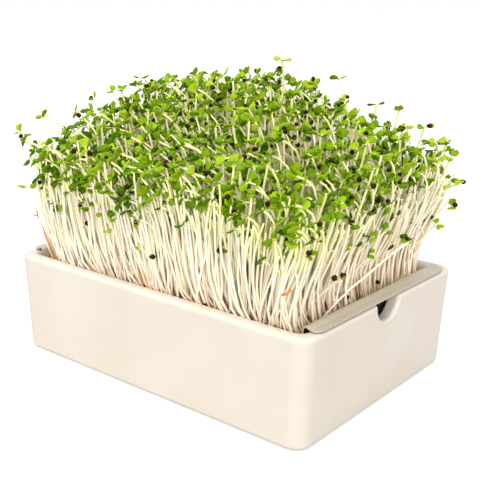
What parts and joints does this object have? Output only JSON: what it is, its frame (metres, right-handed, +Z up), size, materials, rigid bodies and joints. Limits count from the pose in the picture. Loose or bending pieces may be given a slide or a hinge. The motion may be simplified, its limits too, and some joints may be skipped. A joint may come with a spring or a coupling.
{
  "type": "microgreens tray",
  "caption": "Rectangular glazed ceramic tray with a notched end wall, a perforated steel insert and a growing mat, filled with a dense stand of cress-like sprouts.",
  "frame": {"origin": "middle of the tray's flat underside, on the surface that it stands on", "axes": "+X along the tray's long side, +Y across it, +Z up"},
  "size_m": [0.1963, 0.1365, 0.1532],
  "materials": {
    "tray": "satin",
    "insert": "satin",
    "mat": "matte",
    "sprouts": "satin"
  },
  "bodies": {
    "root": {"tray": "tray", "insert": "insert", "growing_mat": "mat", "sprout_tuft_1_1": "sprouts", "sprout_tuft_1_2": "sprouts", "sprout_tuft_1_3": "sprouts", "sprout_tuft_1_4": "sprouts", "sprout_tuft_1_5": "sprouts", "sprout_tuft_1_6": "sprouts", "sprout_tuft_1_7": "sprouts", "sprout_tuft_2_1": "sprouts", "sprout_tuft_2_2": "sprouts", "sprout_tuft_2_3": "sprouts", "sprout_tuft_2_4": "sprouts", "sprout_tuft_2_5": "sprouts", "sprout_tuft_2_6": "sprouts", "sprout_tuft_2_7": "sprouts", "sprout_tuft_3_1": "sprouts", "sprout_tuft_3_2": "sprouts", "sprout_tuft_3_3": "sprouts", "sprout_tuft_3_4": "sprouts", "sprout_tuft_3_5": "sprouts", "sprout_tuft_3_6": "sprouts", "sprout_tuft_3_7": "sprouts", "sprout_tuft_4_1": "sprouts", "sprout_tuft_4_2": "sprouts", "sprout_tuft_4_3": "sprouts", "sprout_tuft_4_4": "sprouts", "sprout_tuft_4_5": "sprouts", "sprout_tuft_4_6": "sprouts", "sprout_tuft_4_7": "sprouts", "sprout_tuft_5_1": "sprouts", "sprout_tuft_5_2": "sprouts", "sprout_tuft_5_3": "sprouts", "sprout_tuft_5_4": "sprouts", "sprout_tuft_5_5": "sprouts", "sprout_tuft_5_6": "sprouts", "sprout_tuft_5_7": "sprouts"}
  },
  "joints": []
}
